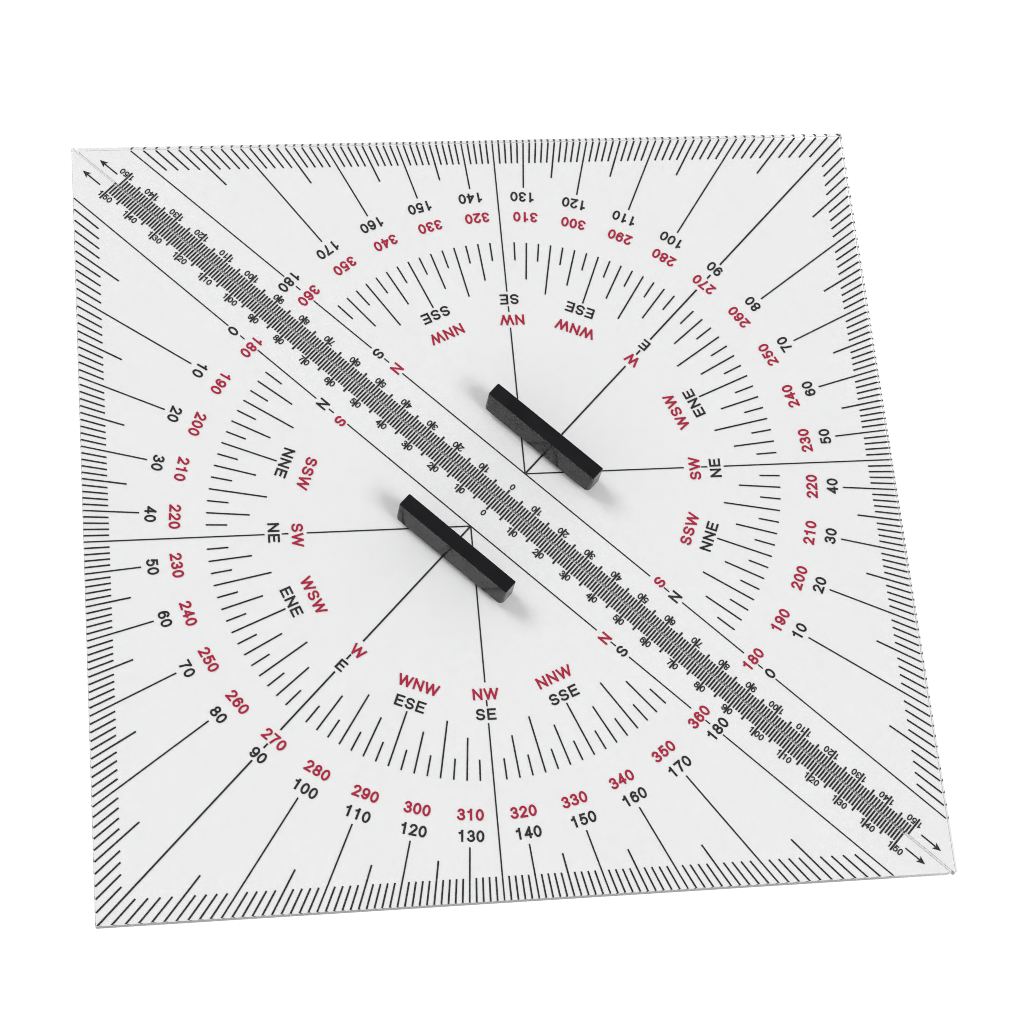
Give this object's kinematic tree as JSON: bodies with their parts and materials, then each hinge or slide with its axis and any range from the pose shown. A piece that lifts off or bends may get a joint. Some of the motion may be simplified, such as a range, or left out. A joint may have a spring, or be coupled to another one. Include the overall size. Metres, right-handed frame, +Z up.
{
  "type": "navigation triangle pair",
  "caption": "Pair of clear acrylic 45-degree protractor triangles with black bar handles, laid long edge to long edge so that one slides along the other as a parallel rule.",
  "frame": {"origin": "middle of the seam between the two long edges, on the plane of the undersides that lies on the chart", "axes": "+X along the seam and the sliding direction, +Y from triangle a to triangle b, +Z up through the handles"},
  "size_m": [0.3348, 0.3346, 0.0115],
  "materials": {
    "acrylic": "polished",
    "handle_plastic": "satin",
    "screw_steel": "satin",
    "black_ink": "matte",
    "red_ink": "matte"
  },
  "bodies": {
    "triangle_a": {"triangle_plate_a": "acrylic", "handle_a": "handle_plastic", "handle_screw_a_1": "screw_steel", "handle_screw_a_2": "screw_steel"},
    "triangle_b": {"triangle_plate_b": "acrylic", "handle_b": "handle_plastic", "handle_screw_b_1": "screw_steel", "handle_screw_b_2": "screw_steel"}
  },
  "joints": [
    {"name": "slide_along_long_edge", "type": "slide", "parent": "triangle_a", "child": "triangle_b", "axis": [1, 0, 0], "range_m": [-0.15, 0.15]}
  ]
}
